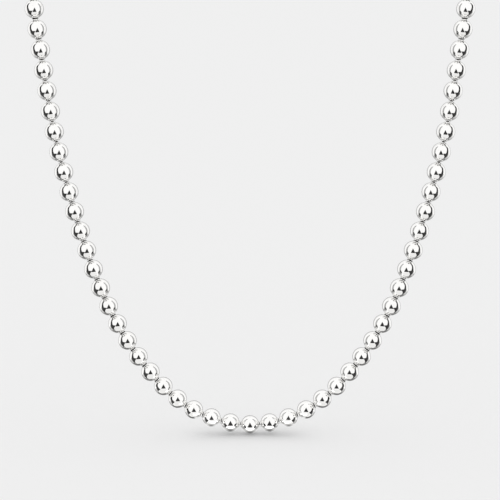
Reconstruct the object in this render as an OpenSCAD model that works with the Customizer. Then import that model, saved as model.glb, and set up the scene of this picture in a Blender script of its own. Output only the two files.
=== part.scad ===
// Ball chain necklace: hollow polished balls on short dumbbell links, closed by a
// plain barrel clasp at the nape. Millimetres. +Z is up and the front hangs at -Y.
// The origin is the middle of the clasp, where the back of the neck carries the chain.

/* [Balls] */
// Outer diameter of a ball
ball_d = 5; // [4:0.1:7]
// Thickness of a ball's wall
ball_wall = 0.3; // [0.2:0.05:0.5]
// Gap between two neighbouring balls
ball_gap = 0.4; // [0.3:0.05:1]

/* [Links] */
// Diameter of a link's wire
wire_d = 0.75; // [0.5:0.05:0.9]
// Clearance between the wire and the edge of a hole where the chain bends most
wire_play = 0.12; // [0.08:0.01:0.2]
// How far a link's round head reaches past the edge of a hole, all round
head_lap = 0.1; // [0.05:0.01:0.15]
// Clearance between a head and the edge of its hole
head_play = 0.12; // [0.08:0.01:0.2]

/* [Clasp] */
// Shortest length of the barrel, which grows to take up what whole balls leave over
clasp_l = 11; // [9:0.5:20]
// Outer diameter of the barrel
clasp_d = 6; // [5:0.1:8]
// Thickness of the barrel's wall
clasp_wall = 0.4; // [0.3:0.05:0.6]
// Radius of the barrel's rounded shoulders
clasp_shoulder = 1.6; // [1:0.1:1.8]

/* [Hidden] */
$fn = 32;

ball_r = ball_d / 2;
pitch = ball_d + ball_gap;
silver = [0.86, 0.86, 0.87];
link_silver = [0.62, 0.62, 0.64];

// The right half of the chain's route, from the lowest ball up round the neck to the
// nape: [across, back, up] from the front's foot. They are the controls of a smooth
// curve, and the left half mirrors them.
chain_route = [
    [0, 0.5, -2],
    [17.5, -1, 4],
    [29, -3, 17.5],
    [37.5, -4.5, 32],
    [44, -5, 51],
    [48.5, -5, 68],
    [52, -4, 83.5],
    [54.5, -2, 101.5],
    [57.5, 1, 118],
    [56.5, 9, 130.5],
    [50.5, 22.5, 138.5],
    [38, 36, 142.5],
    [19, 47, 145],
    [0, 48.5, 145.5]
];

// A cubic B-spline through the closed ring of controls
spans = len(chain_route) - 1;
route_ring = concat(
    chain_route,
    [for (i = [spans - 1:-1:1]) [-chain_route[i].x, chain_route[i].y, chain_route[i].z]]
);
function control(i) = route_ring[(i + len(route_ring)) % len(route_ring)];
function blend(a, b, c, d, t) =
    (a * pow(1 - t, 3)
    + b * (3 * pow(t, 3) - 6 * pow(t, 2) + 4)
    + c * (-3 * pow(t, 3) + 3 * pow(t, 2) + 3 * t + 1)
    + d * pow(t, 3)) / 6;
function curve(i, t) = blend(control(i - 1), control(i), control(i + 1), control(i + 2), t);

// Fine samples of the right half, moved so that the nape is the origin
samples_per_span = 24;
nape = curve(spans, 0);
samples = [for (k = [0:spans * samples_per_span])
    curve(floor(k / samples_per_span), (k % samples_per_span) / samples_per_span) - nape];

// Length of the route up to each sample
run = [for (k = 0, s = 0; k < len(samples);
    s = s + (k + 1 < len(samples) ? norm(samples[k + 1] - samples[k]) : 0), k = k + 1) s];
half_length = run[len(run) - 1];
run_x = [for (k = [0:len(run) - 1]) [run[k], samples[k].x]];
run_y = [for (k = [0:len(run) - 1]) [run[k], samples[k].y]];
run_z = [for (k = [0:len(run) - 1]) [run[k], samples[k].z]];
function route_at(s) = [lookup(s, run_x), lookup(s, run_y), lookup(s, run_z)];

// Whole balls on each side of the lowest one, and what they leave for the clasp
ball_pairs = floor((half_length - clasp_l / 2 + ball_r) / pitch) - 1;
clasp_hub = half_length - (ball_pairs + 1) * pitch;
barrel_l = 2 * (clasp_hub + ball_r);

// Places that the links join: the balls' centres, then the hub in the clasp's end
stations = concat(
    [for (i = [0:ball_pairs]) route_at(i * pitch)],
    [[clasp_hub, 0, 0]]
);
function unit(v) = v / norm(v);
function link_way(i) = unit(stations[i + 1] - stations[i]);
function ball_way(i) = i == 0 ? [1, 0, 0] : unit(link_way(i - 1) + link_way(i));

// How far the wire sways from a hole's middle at the tightest bend of the loop, and a
// hole wide enough for it
function angle(a, b) = acos(min(1, a * b));
swings = concat(
    [for (i = [0:ball_pairs]) angle(ball_way(i), link_way(i))],
    [angle([-1, 0, 0], link_way(ball_pairs))]
);
sway = ball_r * tan(max(swings));
hole_r = wire_d / 2 + wire_play + sway;
head_r = hole_r + head_lap;

// How deep a head's centre lies behind the ball's pole or the barrel's end face
head_back = sqrt(pow(head_r + head_play, 2) - pow(hole_r - sway, 2));
ball_inset = ball_r - sqrt(pow(ball_r - ball_wall, 2) - pow(hole_r, 2)) + head_back;
clasp_inset = clasp_wall + head_back;

// Turns the children's +Z to the given way and moves them to a place
module set_along(place, way) {
    translate(place)
        rotate([0, acos(way.z), atan2(way.y, way.x)])
            children();
}

module on_both_sides() {
    children();
    mirror([1, 0, 0]) children();
}

// Hollow ball with a hole at each pole
module ball() {
    rotate_extrude()
        difference() {
            circle(r = ball_r);
            circle(r = ball_r - ball_wall);
            translate([-ball_d, -ball_d]) square([ball_d + hole_r, 2 * ball_d]);
        }
}

// Dumbbell: a straight wire with a round head at each end, from z = 0 up
module link(length) {
    rotate_extrude()
        intersection() {
            union() {
                square([wire_d / 2, length]);
                circle(r = head_r);
                translate([0, length]) circle(r = head_r);
            }
            translate([0, -head_r]) square([head_r, length + 2 * head_r]);
        }
}

module link_at(i) {
    far_inset = i == ball_pairs ? clasp_inset : ball_inset;
    near = stations[i] + link_way(i) * (ball_r - ball_inset);
    far = stations[i + 1] - link_way(i) * (ball_r - far_inset);
    set_along(near, link_way(i)) link(norm(far - near));
}

// Half section of a cylinder with rounded shoulders, centred on its length
module rounded_half(length, radius, shoulder) {
    translate([0, shoulder - length / 2]) square([radius, length - 2 * shoulder]);
    translate([0, -length / 2]) square([radius - shoulder, length]);
    for (end = [-1, 1])
        translate([radius - shoulder, end * (length / 2 - shoulder)]) circle(r = shoulder);
}

module balls() {
    color(silver) {
        set_along(stations[0], ball_way(0)) ball();
        on_both_sides()
            for (i = [1:ball_pairs]) set_along(stations[i], ball_way(i)) ball();
    }
}

module links() {
    color(link_silver)
        on_both_sides()
            for (i = [0:ball_pairs]) link_at(i);
}

// Plain hollow barrel across the nape, with a hole in each end for the last link
module clasp() {
    color(silver)
        rotate([0, 90, 0])
            rotate_extrude()
                difference() {
                    rounded_half(barrel_l, clasp_d / 2, clasp_shoulder);
                    rounded_half(
                        barrel_l - 2 * clasp_wall,
                        clasp_d / 2 - clasp_wall,
                        clasp_shoulder - clasp_wall
                    );
                    translate([-hole_r, -barrel_l]) square([2 * hole_r, 2 * barrel_l]);
                }
}

balls();
links();
clasp();
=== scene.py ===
# %% [markdown]
# # A silver ball chain necklace
# A ball chain is the simplest chain there is: hollow balls, each with a small hole at
# either pole, and between every two balls a dumbbell of wire whose round heads are
# caught inside them. Here it hangs as it is worn, a long U in front and a shallow arc
# that climbs over the shoulders to a barrel clasp at the nape.
#
# This lesson dresses a finished construction model. The model already says where each
# ball sits, so the work is to read those places from it, to put finely turned silver in
# them, and then to light it as a jeweller's photographer would. Polished silver has
# hardly a colour of its own: nearly all that one sees on it is its surroundings, so the
# second half of the lesson builds surroundings.

# %% Load the construction model
from math import atan2, cos, pi, radians, sin, sqrt

import bmesh
import bpy
import numpy as np
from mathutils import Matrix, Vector


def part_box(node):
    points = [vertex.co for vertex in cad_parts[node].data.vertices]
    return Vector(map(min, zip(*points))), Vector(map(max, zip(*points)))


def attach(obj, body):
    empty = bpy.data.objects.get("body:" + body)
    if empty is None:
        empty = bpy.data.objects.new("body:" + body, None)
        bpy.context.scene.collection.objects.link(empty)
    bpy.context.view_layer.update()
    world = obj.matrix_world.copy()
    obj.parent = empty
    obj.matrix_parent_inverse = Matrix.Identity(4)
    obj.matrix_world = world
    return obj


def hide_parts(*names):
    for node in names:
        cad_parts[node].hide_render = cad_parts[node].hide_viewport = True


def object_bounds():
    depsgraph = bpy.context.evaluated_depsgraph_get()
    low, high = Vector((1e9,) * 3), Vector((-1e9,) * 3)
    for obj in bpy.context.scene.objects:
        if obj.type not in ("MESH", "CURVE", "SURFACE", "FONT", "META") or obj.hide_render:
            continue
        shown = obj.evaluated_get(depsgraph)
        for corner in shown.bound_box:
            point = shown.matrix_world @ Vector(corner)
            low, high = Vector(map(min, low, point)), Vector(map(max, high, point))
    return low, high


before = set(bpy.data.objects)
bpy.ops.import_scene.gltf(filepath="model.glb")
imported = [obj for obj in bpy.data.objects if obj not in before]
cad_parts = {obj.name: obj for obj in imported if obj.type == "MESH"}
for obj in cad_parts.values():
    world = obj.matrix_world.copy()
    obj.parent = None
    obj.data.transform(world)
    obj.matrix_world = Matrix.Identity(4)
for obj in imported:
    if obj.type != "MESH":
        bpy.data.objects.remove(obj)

MM = 0.001
cad_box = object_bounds()


def in_mm(lengths, digits=2):
    return [round(float(length) / MM, digits) for length in lengths]


print("construction box in mm", [in_mm(corner) for corner in cad_box])

# %% [markdown]
# ## Finding the loose pieces
# All the balls are one mesh of loose shells, so the first job is to tell them apart.
# The mesh could be cut into objects with Separate by Loose Parts, but only the places
# and sizes are needed. Here each corner starts with a number of its own, and the lower
# number spreads along the edges until every shell has a single one. Corners that lie on
# the same spot are joined first, because the model's faces were cut up one by one and
# don't share them.

# %% Group a mesh into its loose shells
SAME_POINT = 0.001 * MM


def mesh_points(node):
    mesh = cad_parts[node].data
    points = np.empty(len(mesh.vertices) * 3)
    mesh.vertices.foreach_get("co", points)
    return mesh, points.reshape(-1, 3)


def shells_of(node):
    """The corners of a node, as one list for each of its loose shells."""
    mesh, points = mesh_points(node)
    spots, spot_of = np.unique(np.round(points / SAME_POINT), axis=0, return_inverse=True)
    edges = np.empty(len(mesh.edges) * 2, int)
    mesh.edges.foreach_get("vertices", edges)
    a, b = spot_of.ravel()[edges].reshape(-1, 2).T
    label = np.arange(len(spots))
    while True:
        low = label.copy()
        np.minimum.at(low, a, label[b])
        np.minimum.at(low, b, label[a])
        low = low[low]
        if (low == label).all():
            return [spots[label == name] * SAME_POINT for name in np.unique(label)]
        label = low


ball_shells = shells_of("balls")
link_shells = shells_of("links")
print(len(ball_shells), "balls and", len(link_shells), "links")

# %% [markdown]
# ## The balls' places
# The middle of each shell's box would be nearly the ball's centre, but a little off
# where the triangles are coarse. Every corner of a triangle lies on the true surface,
# though, so a sphere fitted to the outer corners gives the centre exactly. Polishing
# takes a little off, which also keeps the finer dressed balls inside the model's box.

# %% Fit a sphere to the outer points of each shell
OUTER_SHARE = 0.97
POLISHED_OFF = 0.02 * MM


def sphere_of(points):
    """Centre and radius of the sphere through the outermost of these points."""
    middle = (points.min(axis=0) + points.max(axis=0)) / 2
    far = np.linalg.norm(points - middle, axis=1)
    outer = points[far > OUTER_SHARE * far.max()]
    rows = np.hstack([2 * outer, np.ones((len(outer), 1))])
    answer = np.linalg.lstsq(rows, (outer ** 2).sum(axis=1), rcond=None)[0]
    centre = answer[:3]
    return Vector(centre), sqrt(answer[3] + centre @ centre)


spheres = [sphere_of(points) for points in ball_shells]
BALL_R = float(np.median([radius for centre, radius in spheres])) - POLISHED_OFF
print("ball radius", round(BALL_R / MM, 3), "mm")

# %% [markdown]
# ## Putting them in order
# The balls of a flat ring could be sorted by their angle, but this loop folds back over
# the shoulders. A chain is a walk, though: the next ball is always the nearest one that
# hasn't been passed. The walk starts beside the clasp's right end and comes back to its
# left end. The clasp joins on at two hubs, points as far inside its ends as a ball's
# centre lies behind its surface. Each ball is then turned so that its holes point
# halfway between its two neighbours, which is how a slack ball settles on its wires.

# %% Walk round the loop
clasp_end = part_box("clasp")[1][0]
hub = Vector((clasp_end - BALL_R, 0, 0))
waiting = [centre for centre, radius in spheres]
chain = []
here = hub
while waiting:
    here = min(waiting, key=lambda place: (place - here).length)
    waiting.remove(here)
    chain.append(here)

stations = [hub] + chain + [Vector((-hub.x, 0, 0))]
link_ways = [(b - a).normalized() for a, b in zip(stations, stations[1:])]
ball_ways = [(a + b).normalized() for a, b in zip(link_ways, link_ways[1:])]
LOWEST = len(chain) // 2
steps = [(b - a).length / MM for a, b in zip(chain, chain[1:])]
print("pitch", round(min(steps), 3), "to", round(max(steps), 3), "mm")
print("lowest ball in mm", in_mm(chain[LOWEST]))

# %% [markdown]
# ## Measuring the small sizes
# The wall, the holes, the wires and their heads are sizes too, and typing them in again
# would let them drift from the model. Seen from a ball's own axis, the corner nearest
# to the axis is on the edge of a hole, and the corner nearest to the centre is on the
# inner wall. A sphere fitted to one end of a link gives its head, and the corner nearest
# to the link's middle, if it isn't on the axis, is on the wire.

# %% Read radii and walls off the model
AXIS_ZONE = 0.1 * MM


def about_axis(points, place, way):
    """Distance from an axis and height along it, for each point."""
    from_place = points - np.array(place)
    heights = from_place @ np.array(way)
    radii = np.sqrt(np.maximum((from_place ** 2).sum(axis=1) - heights ** 2, 0))
    return radii, heights


def nearest_shell(shells, place):
    return min(shells, key=lambda points: (Vector(points.mean(axis=0)) - place).length)


ball_shell = nearest_shell(ball_shells, chain[LOWEST])
radii, heights = about_axis(ball_shell, chain[LOWEST], ball_ways[LOWEST])
HOLE_R = radii.min()
BALL_WALL = BALL_R - np.hypot(radii, heights).min()

joint = (chain[LOWEST] + chain[LOWEST + 1]) / 2
link_shell = nearest_shell(link_shells, joint)
radii, heights = about_axis(link_shell, joint, link_ways[LOWEST + 1])
HEAD_R = sphere_of(link_shell[heights > 0])[1]
off_axis = radii > AXIS_ZONE
WIRE_R = radii[off_axis][np.abs(heights[off_axis]).argmin()]
print("wall, hole, head and wire radius in mm", in_mm((BALL_WALL, HOLE_R, HEAD_R, WIRE_R), 3))

# %% [markdown]
# ## A lathe
# Balls, wires and the barrel are all round, so one tool makes them all. It takes a
# profile, a list of points given as radius and height, and spins it round an axis.
# Blender's Screw modifier does the same to one profile, but a small function can spin
# it 83 times into one joined mesh, each time along its own axis.
#
# It also writes three notes on every point. `on_piece` is where the point sits on its
# own ball, `mark` says how close it is to a hole, and `lot` is a number for the ball.
# The finishes read them, so that scratches run with each ball and tarnish and painted
# shade sit in the holes and on the rims, whichever way a ball happens to hang.

# %% The lathe


class Lathe:
    """Spins profiles of (radius, height, mark) round axes and keeps them in one mesh."""

    def __init__(self, turns):
        self.turns = turns
        self.points, self.faces = [], []
        self.on_piece, self.mark, self.lot = [], [], []

    def spin(self, profile, place, way, lot, closed=False):
        across = way.orthogonal().normalized()
        over = way.cross(across)
        first = len(self.points)
        for radius, height, mark in profile:
            for k in range(self.turns):
                angle = 2 * pi * k / self.turns
                ring = across * cos(angle) + over * sin(angle)
                self.points.append(place + ring * radius + way * height)
                self.on_piece.append((radius * cos(angle), radius * sin(angle), height))
                self.mark.append(mark)
                self.lot.append(lot)
        rows = len(profile)
        for row in range(rows if closed else rows - 1):
            above = first + (row + 1) % rows * self.turns
            below = first + row * self.turns
            for k in range(self.turns):
                k_next = (k + 1) % self.turns
                self.faces.append((below + k, below + k_next, above + k_next, above + k))
        if not closed:
            last = first + (rows - 1) * self.turns
            self.faces.append(tuple(first + k for k in reversed(range(self.turns))))
            self.faces.append(tuple(last + k for k in range(self.turns)))

    def piece(self, name):
        mesh = bpy.data.meshes.new(name)
        mesh.from_pydata(self.points, [], self.faces)
        notes = mesh.attributes.new("on_piece", "FLOAT_VECTOR", "POINT")
        notes.data.foreach_set("vector", np.array(self.on_piece).ravel())
        for key, values in (("mark", self.mark), ("lot", self.lot)):
            notes = mesh.attributes.new(key, "FLOAT", "POINT")
            notes.data.foreach_set("value", np.array(values, float))
        mesh.shade_smooth()
        made = bpy.data.objects.new(name, mesh)
        bpy.context.scene.collection.objects.link(made)
        print(name, "has", sum(len(face) - 2 for face in self.faces), "triangles")
        return made


def dress(piece, node):
    """The piece stands in for a node of the model, which is hidden, and hangs from the root
    body.
    """
    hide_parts(node)
    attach(piece, "root")


# %% [markdown]
# ## The profile of a ball
# Each ball is a shell pressed from thin sheet silver, and the sheet is turned up into a
# low rim round each hole. The rims fill what the holes cut off the balls, so two
# neighbours almost meet, and all that is left between them is the fine dark line that
# the photograph shows. A ready-made sphere with two Boolean holes would have no rims and
# long thin triangles round its holes, which show as dents in a mirror.
#
# The profile goes round the whole wall: over one rim, through a small hollow curve onto
# the ball, over the other rim and back up the inside. So the ball is a closed solid,
# like the real one, and looks right when a camera peers into a hole. Each point also
# gets its mark, which is highest inside the hole, where no cloth reaches, and on the
# rim tops. The finish paints the marked places nearly black: partly tarnish, and partly
# painted shade for the narrow gap between two balls, where little light gets in.

# %% Draw the profile of one hollow ball
RIM = 0.05 * MM
RIM_RISE = 0.06 * MM
FILLET = 0.14 * MM
# the rim tops are marked fully, so they are painted dark: tarnish, and painted shade of the
# gap to the next ball
RIM_MARKS = [1, 1, 1, 1, 1, 0.6, 0.3]
FILLET_MARKS = [0.3, 0.25, 0.2, 0.1, 0]
OUTSIDE_MARKS = [0] * 29
INSIDE_MARKS = [1] * 9


def arc(centre, radius, start, end, marks):
    """Points (radius, height, mark) on an arc, one for each mark; angles from the axis."""
    angles = [start + (end - start) * k / (len(marks) - 1) for k in range(len(marks))]
    return [(centre[0] + radius * sin(a), centre[1] + radius * cos(a), mark)
            for a, mark in zip(angles, marks)]


def flipped(rows):
    return [(r, -h, mark) for r, h, mark in reversed(rows)]


def ball_profile():
    rim_centre = (HOLE_R + RIM, BALL_R + RIM_RISE - RIM)
    rim = arc(rim_centre, RIM, -pi / 2, pi / 2, RIM_MARKS)
    foot_r = HOLE_R + 2 * RIM + FILLET
    foot = (foot_r, sqrt((BALL_R + FILLET) ** 2 - foot_r ** 2))
    lean = atan2(*foot)
    hollow = arc(foot, FILLET, -pi / 2, lean - pi, FILLET_MARKS)
    outside = arc((0, 0), BALL_R, lean, pi - lean, OUTSIDE_MARKS)[1:-1]
    inner_r = BALL_R - BALL_WALL
    inner_lean = atan2(HOLE_R, sqrt(inner_r ** 2 - HOLE_R ** 2))
    inside = arc((0, 0), inner_r, pi - inner_lean, inner_lean, INSIDE_MARKS)
    return rim + hollow + outside + flipped(rim + hollow) + inside


print("a ball's profile has", len(ball_profile()), "points")
print("gap between two rims", round(min(steps) - 2 * (BALL_R + RIM_RISE) / MM, 3), "mm")

# %% [markdown]
# ## Groups of balls
# The chain could be one mesh, but it is made in seven pieces: the two long sides, the
# low balls where each side turns in, the lowest ball and the one beside it on either
# side. They are the same silver. They are kept apart because the photographer's flags,
# further on, are set up for each side separately, and the balls near the foot hang
# between the two.

# %% Turn the balls
BALL_TURNS = 46
LOW_BALLS = 5
# steps of the golden ratio keep the lots of neighbours far apart
LOT_STEP = 0.618
strands = {
    "balls_right": range(0, LOWEST - LOW_BALLS),
    "balls_low_right": range(LOWEST - LOW_BALLS, LOWEST - 1),
    "ball_beside_right": [LOWEST - 1],
    "ball_lowest": [LOWEST],
    "ball_beside_left": [LOWEST + 1],
    "balls_low_left": range(LOWEST + 2, LOWEST + LOW_BALLS + 1),
    "balls_left": range(LOWEST + LOW_BALLS + 1, len(chain)),
}
strand_pieces = {}
for name, members in strands.items():
    lathe = Lathe(BALL_TURNS)
    for i in members:
        lathe.spin(ball_profile(), chain[i], ball_ways[i], i * LOT_STEP % 1, closed=True)
    strand_pieces[name] = lathe.piece(name)
    dress(strand_pieces[name], "balls")

# %% [markdown]
# ## The dumbbell links
# A link is a short straight wire with a bead of metal melted onto each end. Only the
# stretch between two balls is ever seen, and it is thinner than it looks in a photo,
# but the heads show through the holes. Two spheres and a cylinder could be joined, but
# the lathe turns them as one skin. Each link is measured on the model and turned to the
# same length. On a real one a little metal also rounds the corner where the wire meets
# the head. It is left out, because that corner is inside the ball.

# %% Turn the links
LINK_TURNS = 24
HEAD_MARKS = [1] * 12
# radians, left flat at the head's tip
HEAD_TIP = 0.05


def link_profile(length):
    lean = atan2(WIRE_R, sqrt(HEAD_R ** 2 - WIRE_R ** 2))
    start = arc((0, 0), HEAD_R, pi - HEAD_TIP, lean, HEAD_MARKS)
    return start + [(r, length - h, mark) for r, h, mark in reversed(start)]


lathe = Lathe(LINK_TURNS)
for k, (a, b, way) in enumerate(zip(stations, stations[1:], link_ways)):
    heights = about_axis(nearest_shell(link_shells, (a + b) / 2), a, way)[1]
    foot = a + way * (heights.min() + HEAD_R)
    length = heights.max() - heights.min() - 2 * HEAD_R
    lathe.spin(link_profile(length), foot, way, k * LOT_STEP % 1)
links = lathe.piece("wire_links")
dress(links, "links")

# %% [markdown]
# ## The barrel clasp
# The clasp is a plain hollow barrel with softly rounded shoulders and a hole in each
# end, worn smooth like the balls. A cylinder with a Bevel modifier would come close. A
# profile can follow the model exactly, so its wall and shoulders are read off the model
# first: the corners round a hole give the wall, and the flat of the end gives the
# shoulder.

# %% Measure the barrel
points = mesh_points("clasp")[1]
radii, heights = about_axis(points, (0, 0, 0), (1, 0, 0))
barrel_r = radii.max() - POLISHED_OFF
half_l = heights.max() - POLISHED_OFF
at_hole = np.abs(heights[radii < radii.min() + SAME_POINT])
CLASP_WALL = at_hole.max() - at_hole.min()
SHOULDER = radii.max() - radii[heights > heights.max() - SAME_POINT].max()
print("barrel wall and shoulder in mm", in_mm((CLASP_WALL, SHOULDER), 3))

# %% Turn the barrel
BARREL_TURNS = 72
BARREL_LOT = 0.3
# the edge of each end hole is painted dark like the balls' rims: tarnish and painted shade of
# the gap
END_MARKS = [1, 1, 0.8, 0.4]
SHOULDER_MARKS = [0.1] + [0] * 13
BARREL_INSIDE_MARKS = [1] * 8


def barrel_profile():
    corner = (barrel_r - SHOULDER, half_l - SHOULDER)
    end = arc((HOLE_R + RIM, half_l - RIM), RIM, -pi / 2, 0, END_MARKS)
    outside = end + arc(corner, SHOULDER, 0, pi / 2, SHOULDER_MARKS)
    inside = arc(corner, SHOULDER - CLASP_WALL, pi / 2, 0, BARREL_INSIDE_MARKS)
    inside.append((HOLE_R, half_l - CLASP_WALL, 1))
    return outside + flipped(outside) + flipped(inside) + inside


lathe = Lathe(BARREL_TURNS)
lathe.spin(barrel_profile(), Vector((0, 0, 0)), Vector((1, 0, 0)), BARREL_LOT, closed=True)
barrel = lathe.piece("barrel_clasp")
dress(barrel, "clasp")

# %% [markdown]
# ## Nodes in a few words
# A finish is a tree of nodes, and most trees need the same few: a note read off the
# mesh, a noise, a ramp from one range to another. They could be wired by hand in the
# shader editor. These helpers make one node each and wire it up, so that the finishes
# below read like recipes and come out the same each time.

# %% Small helpers for node trees


class Recipe:
    """A node tree whose nodes are added one call at a time."""

    def __init__(self, tree):
        self.tree = tree

    def node(self, kind, wires=(), **settings):
        made = self.tree.nodes.new("ShaderNode" + kind)
        for key, value in settings.items():
            setattr(made, key, value)
        for socket, source in wires:
            if isinstance(source, bpy.types.NodeSocket):
                self.tree.links.new(source, made.inputs[socket])
            else:
                made.inputs[socket].default_value = source
        return made

    def wire(self, source, target):
        self.tree.links.new(source, target)

    def note(self, name):
        made = self.node("Attribute", attribute_name=name)
        return made.outputs["Vector" if name == "on_piece" else "Fac"]

    def noise(self, where, scale, detail=3):
        return self.node("TexNoise", (("Vector", where), ("Scale", scale),
                                      ("Detail", detail))).outputs["Fac"]

    def ramp(self, value, low, high, to_low=0.0, to_high=1.0):
        return self.node("MapRange", (("Value", value), ("From Min", low),
                                      ("From Max", high), ("To Min", to_low),
                                      ("To Max", to_high))).outputs["Result"]

    def maths(self, operation, a, b):
        return self.node("Math", ((0, a), (1, b)), operation=operation).outputs[0]

    def vectors(self, operation, a, b):
        return self.node("VectorMath", ((0, a), (1, b)), operation=operation)

    def mix(self, share, a, b):
        """Two colours mixed; the Mix node keeps them in sockets 6 and 7."""
        return self.node("Mix", ((0, share), (6, a), (7, b)), data_type="RGBA").outputs[2]

    def bump(self, height, distance, strength=1.0, normal=None):
        wires = [("Height", height), ("Strength", strength), ("Distance", distance)]
        if normal is not None:
            wires.append(("Normal", normal))
        return self.node("Bump", wires).outputs[0]


class Finish(Recipe):
    """A new material and its recipe."""

    def __init__(self, name):
        self.material = bpy.data.materials.new(name)
        self.material.use_nodes = True
        super().__init__(self.material.node_tree)
        self.shader = self.tree.nodes["Principled BSDF"]

    def instead(self, shader):
        """Another shader takes the place of the principled one."""
        self.wire(shader.outputs[0], self.tree.nodes["Material Output"].inputs["Surface"])
        self.tree.nodes.remove(self.shader)


def grey(level):
    return (level, level, level, 1)


# %% [markdown]
# ## Silver
# Clean silver sends back about 95% of the light that falls on it, a little less of the
# blue, so it is a mirror with the faintest warmth. What makes it look like metal and
# not like chrome paint is small: rubbing leaves hairlines that catch the light,
# hand polishing leaves the surface very slightly wavy, and the rims are only satin,
# because a cloth slides over them. Where no cloth reaches, inside the holes and between
# the rims, the colour is painted matt and nearly black: partly tarnish, and partly
# painted shade for the narrow gap between two balls, where little light gets in. This
# dark film no longer behaves like a metal, so the finish turns its metallic share down
# as well as its colour.
#
# All of that could be painted on a texture. Built from noises it needs no unwrapping
# and keeps its scale: the hairlines are about a tenth of a millimetre wide and the
# waves about a millimetre long, whatever the piece's size.

# %% A recipe for polished silver
SILVER = (0.955, 0.950, 0.938, 1)
WORN_SILVER = (0.915, 0.908, 0.893, 1)
# nearly black: tarnish, and painted shade in the gap between two balls
TARNISH_AND_GAP_SHADE = (0.05, 0.046, 0.04, 1)

# how many patches of each noise go into a metre
HAIRLINE_SCALE = 2600
CLOUD_SCALE = 620
RAGGED_SCALE = 2400
WAVE_SCALE = 900

# the range of each noise that counts
HAIRLINE_PEAKS = (0.66, 0.74)
WORN_CLOUDS = (0.45, 0.75)
MIDDLE_OF_NOISE = (0.3, 0.7)
RAGGED_BY = 0.15
TARNISH_AND_GAP_SHADE_EDGE = (0.45, 0.9)

POLISH = (0.03, 0.065)
HAIRLINE_ROUGH = 0.1
RIM_ROUGH = 0.3
SATIN_EDGE = (0, 0.4)
WAVE_DEPTH = 0.0015 * MM
HAIRLINE_DEPTH = 0.001 * MM
HAIRLINE_STRENGTH = 0.25
# only the dark film of tarnish and painted gap shade, which isn't a metal, shows this gloss
TARNISH_AND_GAP_SHADE_GLOSS = 0.2


def polished(name, hairline_way):
    finish = Finish(name)
    socket = finish.shader.inputs

    # each ball reads another place in the noises
    lot = finish.note("lot")
    shift = finish.node("CombineXYZ", (("X", lot), ("Y", lot), ("Z", lot))).outputs[0]
    place = finish.vectors("ADD", finish.note("on_piece"), shift).outputs[0]
    along = finish.vectors("MULTIPLY", place, hairline_way).outputs[0]
    hairlines = finish.ramp(finish.noise(along, HAIRLINE_SCALE), *HAIRLINE_PEAKS)
    clouds = finish.noise(place, CLOUD_SCALE)

    # tarnish and painted gap shade creep out of the holes along a ragged edge
    ragged = finish.ramp(finish.noise(place, RAGGED_SCALE), *MIDDLE_OF_NOISE,
                         -RAGGED_BY, RAGGED_BY)
    tarnish_and_gap_shade = finish.ramp(finish.maths("ADD", finish.note("mark"), ragged), *TARNISH_AND_GAP_SHADE_EDGE)

    tone = finish.mix(finish.ramp(clouds, *WORN_CLOUDS), SILVER, WORN_SILVER)
    finish.wire(finish.mix(tarnish_and_gap_shade, tone, TARNISH_AND_GAP_SHADE), socket["Base Color"])
    finish.wire(finish.ramp(tarnish_and_gap_shade, 0, 1, 1, 0), socket["Metallic"])
    socket["Specular IOR Level"].default_value = TARNISH_AND_GAP_SHADE_GLOSS

    rough = finish.ramp(clouds, *MIDDLE_OF_NOISE, *POLISH)
    scratched = finish.ramp(hairlines, 0, 1, 0, HAIRLINE_ROUGH)
    satin = finish.ramp(finish.note("mark"), *SATIN_EDGE, 0, RIM_ROUGH)
    rough = finish.maths("ADD", finish.maths("ADD", rough, scratched), satin)
    finish.wire(rough, socket["Roughness"])

    waves = finish.bump(finish.noise(place, WAVE_SCALE, detail=1), WAVE_DEPTH)
    lines = finish.bump(hairlines, -HAIRLINE_DEPTH, HAIRLINE_STRENGTH, waves)
    finish.wire(lines, socket["Normal"])
    return finish.material


# %% [markdown]
# A cloth rubs the balls mostly across the chain, at a slant, and the barrel lengthwise.
# Two noises could be drawn for that, but one recipe serves both pieces, because the way
# given below stretches its noise: the smaller a number, the longer the lines along that
# axis.

# %% Silver the balls and the barrel
BALL_HAIRLINES = (1.0, 0.16, 0.35)
BARREL_HAIRLINES = (1.0, 1.0, 0.12)
ball_finish = polished("polished_ball_silver", BALL_HAIRLINES)
barrel_finish = polished("polished_barrel_silver", BARREL_HAIRLINES)
for piece in strand_pieces.values():
    piece.data.materials.append(ball_finish)
barrel.data.materials.append(barrel_finish)
print("silver on", len(strand_pieces) + 1, "pieces")

# %% [markdown]
# ## The wires
# The links are the same silver, but no polishing cloth ever reaches them. They keep
# the die marks of the drawn wire, lines along their length, and a dull dark film.
# That film is partly tarnish and partly painted shade: the wire is seen only in the
# narrow gaps between balls and through their holes, where little light gets in.
# Against the bright balls they read as the small dark joints that give the chain its
# rhythm. One flat dark grey would do from afar, but up close the lines and the lighter
# patches of the film show that it is metal.

# %% Tarnish the wires and paint the shade of the gaps
# the wire's colours: tarnish, and painted shade of the gap between two balls
DARK_FILM_AND_GAP_SHADE = (0.07, 0.065, 0.06, 1)
THIN_FILM_AND_GAP_SHADE = (0.2, 0.19, 0.175, 1)
DIE_MARK_SCALE = 9000
DIE_MARK_WAY = (1.0, 1.0, 0.04)
FILM_SCALE = 2600
THIN_PATCHES = (0.4, 0.7)
DULL = (0.28, 0.45)
GROOVE_DEPTH = 0.004 * MM
GROOVE_STRENGTH = 0.6

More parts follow.
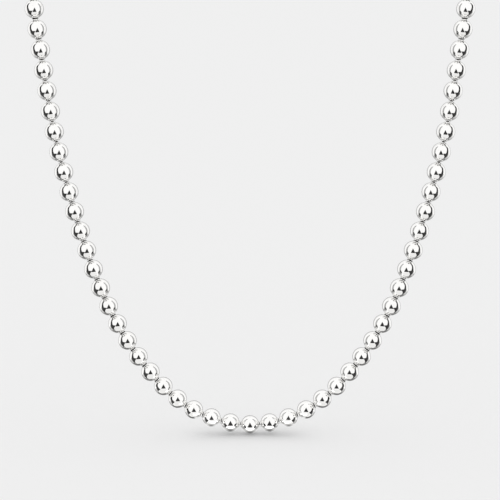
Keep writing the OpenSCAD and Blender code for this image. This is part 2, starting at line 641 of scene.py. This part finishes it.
finish = Finish("wire_silver_tarnish_and_gap_shade")
socket = finish.shader.inputs
place = finish.note("on_piece")
along = finish.vectors("MULTIPLY", place, DIE_MARK_WAY).outputs[0]
die_marks = finish.noise(along, DIE_MARK_SCALE, detail=2)
patches = finish.ramp(finish.noise(place, FILM_SCALE), *THIN_PATCHES)
finish.wire(finish.mix(patches, DARK_FILM_AND_GAP_SHADE, THIN_FILM_AND_GAP_SHADE), socket["Base Color"])
finish.wire(finish.ramp(die_marks, *MIDDLE_OF_NOISE, *DULL), socket["Roughness"])
finish.wire(finish.bump(die_marks, GROOVE_DEPTH, GROOVE_STRENGTH), socket["Normal"])
socket["Metallic"].default_value = 1.0
links.data.materials.append(finish.material)
print("tarnish on", links.name)

# %% [markdown]
# ## The floor
# The floor is a wide sheet of pale paper just under the lowest ball, so that the whole
# picture is one even ground. Photographers bend such paper up behind the object. A flat
# sheet is enough here, because it reaches so far that its far edge is out of the frame,
# and the backdrop behind it gets the same grey. The balls don't mirror it, because flags
# that hang lower than the table have to show in them, as they do when such a chain hangs
# free of the table.

# %% Lay the floor
FLOOR_GAP = 0.2 * MM
FLOOR_REACH = 40
TENT_LIGHT = 1.05
PALE = 0.86
FLOOR_GAIN = 1.035
PAPER_ROUGH = 0.9


def on_stage(name, mesh, material):
    """Scenery: it isn't part of the necklace."""
    mesh.materials.append(material)
    made = bpy.data.objects.new(name, mesh)
    bpy.context.scene.collection.objects.link(made)
    return made


# the paper is a little paler, because the tent's back lights it less
paper = Finish("pale_paper")
paper.shader.inputs["Base Color"].default_value = grey(FLOOR_GAIN * PALE / TENT_LIGHT)
paper.shader.inputs["Roughness"].default_value = PAPER_ROUGH
paper.shader.inputs["Specular IOR Level"].default_value = 0.0
floor_z = cad_box[0][2] - FLOOR_GAP
mesh = bpy.data.meshes.new("floor")
mesh.from_pydata([(x * FLOOR_REACH, y * FLOOR_REACH, floor_z)
                  for x, y in ((-1, -1), (1, -1), (1, 1), (-1, 1))], [], [(0, 1, 2, 3)])
floor = on_stage("floor", mesh, paper.material)
floor.visible_glossy = False
print("floor at", round(floor_z / MM, 2), "mm")

# %% [markdown]
# ## The shadow under the foot
# In a white tent a mirror ball casts hardly a shadow, because it sends down as much
# light as it holds back. The photograph shows a soft shadow all the same. It could be
# painted on the paper, but a real one stays right when the light changes. So the lowest
# balls get thin veils: invisible shells round them that only the light on its way to the
# floor meets, and that hold back a part of it. The balls themselves are hidden from that
# light, so the veils alone decide how dark the shadow is.

# %% Veil the lowest balls
VEILED = 2
VEIL_PASSES = 0.66
VEIL_SIZE = 1.01
VEIL_TURNS = 24
VEIL_TIP = 0.02
VEIL_MARKS = [0] * 13
shell = arc((0, 0), VEIL_SIZE * BALL_R, VEIL_TIP, pi - VEIL_TIP, VEIL_MARKS)
lathe = Lathe(VEIL_TURNS)
for i in range(LOWEST - VEILED, LOWEST + VEILED + 1):
    lathe.spin(shell, chain[i], ball_ways[i], 0)
veils = lathe.piece("foot_veils")
veil = Finish("veil")
veil.instead(veil.node("BsdfTransparent", (("Color", grey(VEIL_PASSES)),)))
veils.data.materials.append(veil.material)
veils.visible_camera = veils.visible_glossy = veils.visible_transmission = False
for piece in strand_pieces.values():
    piece.visible_diffuse = piece.visible_shadow = False

# %% [markdown]
# ## The tent
# Jewellery is photographed inside a tent of white cloth that glows evenly from all
# sides. Big area lamps could stand round the chain, but each would show in the balls as
# a bright square with dark round it. In Blender the world itself can be the tent: a
# plain white a little brighter than the picture's white, so that the silver's highlights
# reach full white. Three places are dimmer. From some 20 degrees below level the cloth
# is a little darker. So is the back of the tent, which the balls show near their edges.
# Straight behind the chain is a grey backdrop, which draws a thin line round each ball.
# The camera itself sees a backdrop as pale as the floor.

# %% Light the tent
WHITE = (1, 1, 1, 1)
LOW_CLOTH = (0.855, 0.854, 0.85, 1)
LOW_EDGE = (-0.42, -0.34)
BACK_LIGHT = 0.92
BACK_FADE = (0.4, 0.75)
BACKDROP_GREY = 0.47
BACKDROP_FADE = (0.7, 0.93)
BACKDROP_WAY = (0, 0.985, -0.174)
world = bpy.data.worlds.new("tent")
bpy.context.scene.world = world
world.use_nodes = True
tent = Recipe(world.node_tree)
glow = world.node_tree.nodes["Background"]
way = tent.node("TexCoord").outputs["Generated"]
level = tent.node("SeparateXYZ", (("Vector", way),)).outputs["Z"]
behind = tent.vectors("DOT_PRODUCT", way, BACKDROP_WAY).outputs["Value"]
cloth = tent.mix(tent.ramp(level, *LOW_EDGE), LOW_CLOTH, WHITE)
dimmer = tent.maths("MULTIPLY", tent.ramp(behind, *BACK_FADE, TENT_LIGHT, BACK_LIGHT),
                    tent.ramp(behind, *BACKDROP_FADE, 1, BACKDROP_GREY))
seen = tent.node("LightPath").outputs["Is Camera Ray"]
tent.wire(tent.mix(seen, cloth, grey(PALE)), glow.inputs["Color"])
# a Mix node keeps plain numbers in sockets 2 and 3
strength = tent.node("Mix", ((0, seen), (2, dimmer), (3, 1.0)), data_type="FLOAT")
tent.wire(strength.outputs[0], glow.inputs["Strength"])
bpy.context.scene.view_settings.view_transform = "Standard"
print("tent light", TENT_LIGHT)

# %% [markdown]
# ## Flags
# In an evenly white tent polished balls would be flat white discs. A photographer hangs
# dark cloths in it, called flags, and the balls draw them as crisp dark shapes. The dark
# shapes could be painted on the world instead, but then they would be endlessly far away
# and every ball would show them in the same place. A flag is given here as a few
# corners, each a turn from straight ahead and a lift above level, in degrees, on a
# sphere round the hanging front. That is how one thinks about a reflection: the
# direction matters most, and the distance little.
#
# The flags are cut in a flat pattern of turn and lift, divided finely, and then bent
# onto the sphere. They are seen by reflections only, so they never stand in the way of
# a camera, and they take no light from the floor. A flag's cloth glows with a share of
# the tent's light, and may let a share of what is behind it through.

# %% Cut a flag
FLAG_MIDDLE = Vector((0, -50, -90)) * MM
TIMES_DIVIDED = 3


def on_tent(turn, lift, away, side):
    """The place that lies this way from the middle; side is -1 to mirror it."""
    turn, lift = radians(turn), radians(lift)
    way = Vector((side * sin(turn) * cos(lift), -cos(turn) * cos(lift), sin(lift)))
    return FLAG_MIDDLE + way * away


def for_mirrors_only(made):
    made.visible_camera = made.visible_diffuse = made.visible_shadow = False
    return made


def flag(name, outline, away, material, side=1):
    """A flag cut by its outline and hung at a distance."""
    pattern = bmesh.new()
    pattern.faces.new([pattern.verts.new((turn, lift, 0)) for turn, lift in outline])
    for _ in range(TIMES_DIVIDED):
        bmesh.ops.triangulate(pattern, faces=pattern.faces)
        bmesh.ops.subdivide_edges(pattern, edges=pattern.edges, cuts=1, use_grid_fill=True)
    for corner in pattern.verts:
        corner.co = on_tent(corner.co.x, corner.co.y, away, side)
    mesh = bpy.data.meshes.new(name)
    pattern.to_mesh(mesh)
    pattern.free()
    return for_mirrors_only(on_stage(name, mesh, material))


def glowing(name, shade, behind=0.0):
    """Cloth that glows with a share of the tent's light, and lets a share through."""
    finish = Finish(name)
    lit = finish.node("Emission", (("Strength", TENT_LIGHT * shade),))
    clear = finish.node("BsdfTransparent", (("Color", grey(behind)),))
    finish.instead(finish.node("AddShader", ((0, clear.outputs[0]), (1, lit.outputs[0]))))
    finish.material.cycles.emission_sampling = "NONE"
    return finish.material


# %% [markdown]
# ## Flags that every ball sees
# Straight ahead the tent opens for the camera: a tall dark wedge, which every ball
# shows as a small triangle. A grey band stands at each side, with a nearly black corner
# at its foot. A grey cloth lies under the chain, with a paler skirt behind it. Where two
# cloths overlap, one hangs a layer in front of the other, so that they never touch.

# %% Hang the shared flags
SLIT_AWAY, SHARED_AWAY = 275 * MM, 500 * MM
LAYER = 0.02
SLIT = [(0, 32), (-29, -27), (29, -27)]
SLIT_SHADE = 0.036
UNDER = [(97, -43), (142, -48), (180, -44), (218, -48), (263, -43),
         (261, -52), (245, -88), (180, -88), (115, -88), (99, -52)]
UNDER_SHADE = 0.16
SKIRT = [(112, -30), (145, -26), (180, -24), (215, -26), (248, -30), (246, -52), (114, -52)]
SKIRT_SHADE = 0.45
BAND = [(80, 62), (106, 66), (105, -13), (78, -13)]
BAND_SHADE = 0.38
CORNER = [(66, -33), (77, -10), (100, -12), (118, -44), (88, -54)]
CORNER_SHADE = 0.05


def in_front(layers):
    """How far away a cloth hangs that is so many layers in front of the bands."""
    return (1 - LAYER * layers) * SHARED_AWAY


flag("camera_slit", SLIT, SLIT_AWAY, glowing("slit_cloth", SLIT_SHADE))
flag("under_flag", UNDER, SHARED_AWAY, glowing("under_cloth", UNDER_SHADE))
flag("skirt", SKIRT, in_front(-1), glowing("skirt_cloth", SKIRT_SHADE))
band_cloth = glowing("band_cloth", BAND_SHADE)
corner_cloth = glowing("corner_cloth", CORNER_SHADE)
for side, word in ((-1, "left"), (1, "right")):
    flag("band_" + word, BAND, SHARED_AWAY, band_cloth, side)
    flag("corner_" + word, CORNER, in_front(1), corner_cloth, side)
print("flags for every ball hang at", in_mm((SLIT_AWAY, SHARED_AWAY)), "mm")

# %% [markdown]
# ## Cloths that are dark for some balls
# Each side of the chain also has a flag of its own, a broad panel on its outer side
# with an arm that reaches in below the camera. The two are mirrored, so that the sides
# match like a left and a right hand. A photographer would take one half twice and turn
# it over. Light linking does it in one picture and from every view: a cloth glows like
# the tent for some pieces, to which its light is linked, and stays dark for the rest.
#
# Not every ball sees the panel in the same place, so each group of balls has outlines of
# its own. Where these overlap, a piece of cloth has to be dark for several groups. The
# panel is therefore a quilt of squares one degree wide, and all squares that are dark
# for the same groups are sewn into one cloth.

# %% Sew a quilt
SQUARES = [(turn, lift) for turn in range(-110, -16) for lift in range(-87, 50)]


def white_for(cloth, names):
    """The cloth's glow falls on these groups of balls only."""
    linked = bpy.data.collections.new("white_" + cloth.name)
    for name in names:
        linked.objects.link(strand_pieces[name])
    cloth.light_linking.receiver_collection = linked


def inside(outline, x, y):
    within = False
    for (ax, ay), (bx, by) in zip(outline, outline[1:] + outline[:1]):
        if (ay > y) != (by > y) and x < ax + (bx - ax) * (y - ay) / (by - ay):
            within = not within
    return within


def quilt(name, dark_outlines, away, side, material):
    """One cloth for each set of groups that the same squares are dark for."""
    sewn = {}
    # a square belongs to an outline when its middle does
    for turn, lift in SQUARES:
        groups = tuple(group for group, outlines in dark_outlines.items()
                       if any(inside(each, turn + 0.5, lift + 0.5) for each in outlines))
        sewn.setdefault(groups, []).append((turn, lift))
    sewn.pop(())
    for number, (groups, squares) in enumerate(sewn.items()):
        mesh = bpy.data.meshes.new(name)
        mesh.from_pydata([on_tent(turn + x, lift + y, away, side)
                          for turn, lift in squares
                          for x, y in ((0, 0), (1, 0), (1, 1), (0, 1))], [],
                         [range(4 * k, 4 * k + 4) for k in range(len(squares))])
        cloth = for_mirrors_only(on_stage("%s_%d" % (name, number), mesh, material))
        white_for(cloth, [group for group in strands if group not in groups])
    print(name, "has", len(sewn), "cloths")


# %% [markdown]
# ## The side panels
# A long side's balls show their panel's top as a dark crescent along their outer edge
# and its arm as a dark patch below. The low balls see the panel further round, and the
# three lowest see both arms.
#
# The grey bands hang in front of the panels and would hide a part of the crescent. So
# where a panel crosses its band, a second quilt hangs in front, of the band's own shade:
# dark for that side's balls, and no different from the band for the others.
#
# Outside the crescent the photograph shows a white ring, where the balls would mirror the
# grey band and its black corner. A hole cut in these would show in the other side's balls
# too. Clear sheets do better: they are like glass that only adds light, and their light
# is linked to the balls of their own side.

# %% Cut the outlines of the side panels
PANEL_TOP = [(-80, 30), (-70, 15), (-62, 2), (-57, -10), (-92, -10), (-86, 10)]
PANEL_ARM = [(-92, -10), (-57, -10), (-17, -13), (-21, -18), (-65, -55), (-98, -86)]
LOW_PANEL = [(-109, 28), (-103, 7), (-100, -8), (-96, -26), (-98, -45), (-66, -45),
             (-36, -30), (-54, -19), (-71, -3), (-81, 15), (-95, 32)]
MIDDLE_ARM = [(-99, -11), (-96, -26), (-98, -45), (-66, -45), (-50, -31), (-54, -19),
              (-62, -11)]
STRAND_BAND = [(-78, -13), (-87, -13), (-88, 3), (-93, 15), (-103, 27), (-105, 38),
               (-104, 50), (-95, 54), (-88, 40), (-80, 30), (-78, 27)]
LOW_BAND = [(-105, 28), (-103, 7), (-98, -13), (-78, -13), (-78, 9), (-81, 15), (-95, 32)]
CLEAR_ABOVE = [(-80, 62), (-106, 66), (-106, 50), (-104, 50), (-95, 54), (-88, 40), (-80, 30)]
CLEAR_BESIDE = [(-105, 27), (-105, -13), (-87, -13), (-88, 3), (-93, 15), (-103, 27)]
CLEAR_CORNER = [(-90, -13), (-107, -13), (-119, -44), (-104, -54), (-93, -52)]

# %% Hang the side panels
PANEL_AWAY = 540 * MM
PANEL_SHADE = 0.05
CLEAR_SHADE = 0.52
panel_cloth = glowing("panel_cloth", 1 - PANEL_SHADE, behind=PANEL_SHADE)
own_band_cloth = glowing("own_band_cloth", BAND_SHADE)
clear_band_cloth = glowing("clear_band_cloth", CLEAR_SHADE, behind=1.0)
for side, word, other in ((1, "left", "right"), (-1, "right", "left")):
    long_side, low, beside = "balls_" + word, "balls_low_" + word, "ball_beside_" + word
    quilt("panel_" + word, {
        long_side: [PANEL_TOP, PANEL_ARM],
        low: [LOW_PANEL],
        beside: [LOW_PANEL],
        "ball_lowest": [MIDDLE_ARM],
        "ball_beside_" + other: [MIDDLE_ARM],
    }, PANEL_AWAY, side, panel_cloth)
    quilt("own_band_" + word, {
        long_side: [STRAND_BAND],
        low: [LOW_BAND],
        beside: [LOW_BAND],
    }, in_front(2), side, own_band_cloth)
    for name, outline, groups in (("clear_band_", CLEAR_ABOVE, [long_side]),
                                  ("clear_band_", CLEAR_BESIDE, [long_side]),
                                  ("clear_corner_", CLEAR_CORNER, [long_side, low, beside])):
        white_for(flag(name + word, outline, in_front(3), clear_band_cloth, side), groups)

# %% [markdown]
# Looking up from their low place the three lowest balls would see less of the wedge
# straight ahead. They get a wider one, which hangs a little behind it and is white for
# all the others.

# %% Widen the wedge for the lowest balls
LOW_SLIT = [(0, 20), (-36, -35), (36, -35)]
low_slit = flag("low_slit", LOW_SLIT, (1 + LAYER) * SLIT_AWAY, panel_cloth)
side_groups = [name for name in strands if name.startswith("balls")]
white_for(low_slit, side_groups)
print("the wider wedge is white for", side_groups)

# %% [markdown]
# ## The paper under the foot
# The lowest balls hang so close to the paper that their lower part mirrors a patch of
# it, grey right below them, where they stand in their own way. The floor doesn't show in
# the balls, so the patch is laid as a small sheet that only reflections see. It fades to
# grey across the width given in PATCH_FADE, and recovers a little towards the back. The
# fade bows forward at the sides, where the balls hang higher, and a wave lets light in
# between every two balls.

# %% Lay the shaded patch
PATCH_HALF = [(15, 8), (15, -2.8), (4, -3)]
PATCH_FADE = (-3.05 * MM, -1.7 * MM)
PATCH_RECOVERED = 2 * MM
PATCH_BOW = 0.1
BETWEEN_BALLS = 0.2
PATCH_SHADES = (0.97, 0.15, 0.45)
foot_y = chain[LOWEST].y


def mirrored(half):
    return half + [(-x, y) for x, y in reversed(half)]


def sheet_on_floor(name, outline, z, material):
    """A sheet cut by its outline, in mm from under the lowest ball."""
    mesh = bpy.data.meshes.new(name)
    corners = [(x * MM, foot_y + y * MM, z) for x, y in outline]
    mesh.from_pydata(corners, [], [range(len(corners))])
    return for_mirrors_only(on_stage(name, mesh, material))


shaded = Finish("shaded_paper")
place = shaded.node("TexCoord").outputs["Object"]
split = shaded.node("SeparateXYZ", (("Vector", place),))
aside = shaded.maths("ABSOLUTE", split.outputs["X"], 0)
y = shaded.maths("ADD", split.outputs["Y"], shaded.maths("MULTIPLY", aside, PATCH_BOW))
in_light, in_shade, at_back = (TENT_LIGHT * shade for shade in PATCH_SHADES)
fade = shaded.ramp(y, foot_y + PATCH_FADE[0], foot_y + PATCH_FADE[1], in_light, in_shade)
recover = shaded.ramp(y, foot_y + PATCH_FADE[1], foot_y + PATCH_RECOVERED,
                      0, at_back - in_shade)
turns = shaded.maths("MULTIPLY", split.outputs["X"], 2 * pi / (np.median(steps) * MM))
wave = shaded.ramp(shaded.maths("COSINE", turns, 0), -1, 1, 2 * BETWEEN_BALLS, 0)
total = shaded.maths("ADD", shaded.maths("ADD", fade, recover), wave)
shaded.instead(shaded.node("Emission", (("Strength", total),)))
shaded.material.cycles.emission_sampling = "NONE"
sheet_on_floor("foot_patch", mirrored(PATCH_HALF), floor_z, shaded.material)
print("shaded patch of", [round(shade, 3) for shade in (in_light, in_shade, at_back)])

# %% [markdown]
# In front of that patch the paper is white, but a sheet that is wide enough for one ball
# would cover the flags that its neighbour shows at its side. So each of the three lowest
# balls gets a sheet of its own, and the two sides share a wider one: clear glass that
# glows for its own balls only.

# %% Lay the white paper
OWN_SHEET = [(-4, -3), (4, -3), (4.2, -6), (-4.2, -6)]
BESIDE_REACH = 1.14
WIDER_HALF = [(8, -3), (10, -4.6), (16, -7), (17, -11.5), (10.6, -8.5), (5.4, -6.4), (2, -6)]
SHEET_GAP = 0.04 * MM
WHITE_SHADE = 0.95
white_paper = glowing("white_paper", WHITE_SHADE, behind=1.0)
papers = [("ball_lowest", LOWEST, 1), ("ball_beside_left", LOWEST + 1, BESIDE_REACH),
          ("ball_beside_right", LOWEST - 1, BESIDE_REACH)]
for number, (group, i, reach) in enumerate(papers, 1):
    outline = [(chain[i].x / MM + x, y * reach) for x, y in OWN_SHEET]
    own = sheet_on_floor("paper_" + group, outline, floor_z + number * SHEET_GAP, white_paper)
    white_for(own, [group])
wider_z = floor_z + (len(papers) + 1) * SHEET_GAP
white_for(sheet_on_floor("paper_sides", mirrored(WIDER_HALF), wider_z, white_paper),
          side_groups)
print(len(papers) + 1, "sheets of white paper under the foot")

# %% [markdown]
# ## Camera
# The picture is taken with a long lens from a little above the foot of the chain, so
# that the two sides run almost parallel to the frame. An orthographic camera would make
# all balls quite the same size, but the photograph's shrink a little towards the foot,
# which is further away. The camera looks at a point on the chain's middle, between its
# foot and where it leaves the frame at the top.

# %% Set up the camera
DISTANCE = 400 * MM
ELEVATION = radians(10)
AIM_ABOVE_FOOT = 48.49 * MM
FOCAL_LENGTH = 107.37
SENSOR = 36
NEAREST_SEEN = 10 * MM
aim = chain[LOWEST] + Vector((0, 0, AIM_ABOVE_FOOT))
back = Vector((0, -cos(ELEVATION), sin(ELEVATION)))
lens = bpy.data.cameras.new("camera")
lens.lens = FOCAL_LENGTH
lens.sensor_width = SENSOR
lens.clip_start = NEAREST_SEEN
camera = bpy.data.objects.new("camera", lens)
camera.location = aim + back * DISTANCE
camera.rotation_euler = back.to_track_quat("Z", "Y").to_euler()
bpy.context.scene.collection.objects.link(camera)
bpy.context.scene.camera = camera
print("camera at", in_mm(camera.location, 1), "mm")
